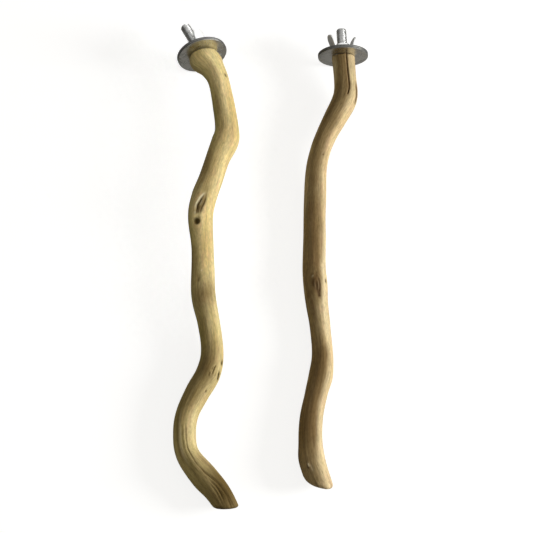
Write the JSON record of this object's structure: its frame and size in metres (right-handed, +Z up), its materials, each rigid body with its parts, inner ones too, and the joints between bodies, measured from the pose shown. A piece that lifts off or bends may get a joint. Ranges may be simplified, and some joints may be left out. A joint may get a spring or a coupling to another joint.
{
  "type": "bird perch",
  "caption": "Crooked peeled-branch cage perches, each gripping the cage bars between broad washers with a wing nut on a hanger bolt.",
  "frame": {"origin": "centre of the pair's footprint, on the table that both perches lie on", "axes": "+Y along the perches from their free ends towards their washers and wing nuts, +X from the left perch to the right one, +Z up"},
  "size_m": [0.1143, 0.3018, 0.0301],
  "materials": {
    "peeled_wood": "bare, peeled branch, smooth with cracks, knots and a faint grain",
    "bolt_steel": "zinc-plated, rolled threads",
    "washer_steel": "zinc-plated, slightly dulled, faint scuffs",
    "nut_steel": "bright zinc-plated pressed sheet"
  },
  "bodies": {
    "perches": {"left_branch": "peeled_wood", "left_hanger_bolt": "bolt_steel", "left_inner_washer": "washer_steel", "right_branch": "peeled_wood", "right_hanger_bolt": "bolt_steel", "right_inner_washer": "washer_steel"},
    "left_outer_washer": {"left_outer_washer": "washer_steel"},
    "left_wing_nut": {"left_wing_nut": "nut_steel"},
    "right_outer_washer": {"right_outer_washer": "washer_steel"},
    "right_wing_nut": {"right_wing_nut": "nut_steel"}
  },
  "joints": [
    {"name": "left_clamp_slide", "type": "slide", "parent": "perches", "child": "left_outer_washer", "axis": [-0.4531, 0.8893, -0.061], "range_m": [0, 0.015]},
    {"name": "left_nut_turn", "type": "hinge", "parent": "left_outer_washer", "child": "left_wing_nut", "pos_m": [-0.04199, 0.12752, 0.0151], "axis": [-0.4531, 0.8893, -0.061], "range_deg": [0, 5400]},
    {"name": "right_clamp_slide", "type": "slide", "parent": "perches", "child": "right_outer_washer", "axis": [-0.0514, 0.9803, 0.1908], "range_m": [0, 0.009]},
    {"name": "right_nut_turn", "type": "hinge", "parent": "right_outer_washer", "child": "right_wing_nut", "pos_m": [0.04201, 0.12652, 0.01472], "axis": [-0.0514, 0.9803, 0.1908], "range_deg": [0, 3240]}
  ],
  "couplings": [
    {"joint": "left_nut_turn", "follows": "left_clamp_slide", "rad_per_m": 6283.2},
    {"joint": "right_nut_turn", "follows": "right_clamp_slide", "rad_per_m": 6283.2}
  ]
}
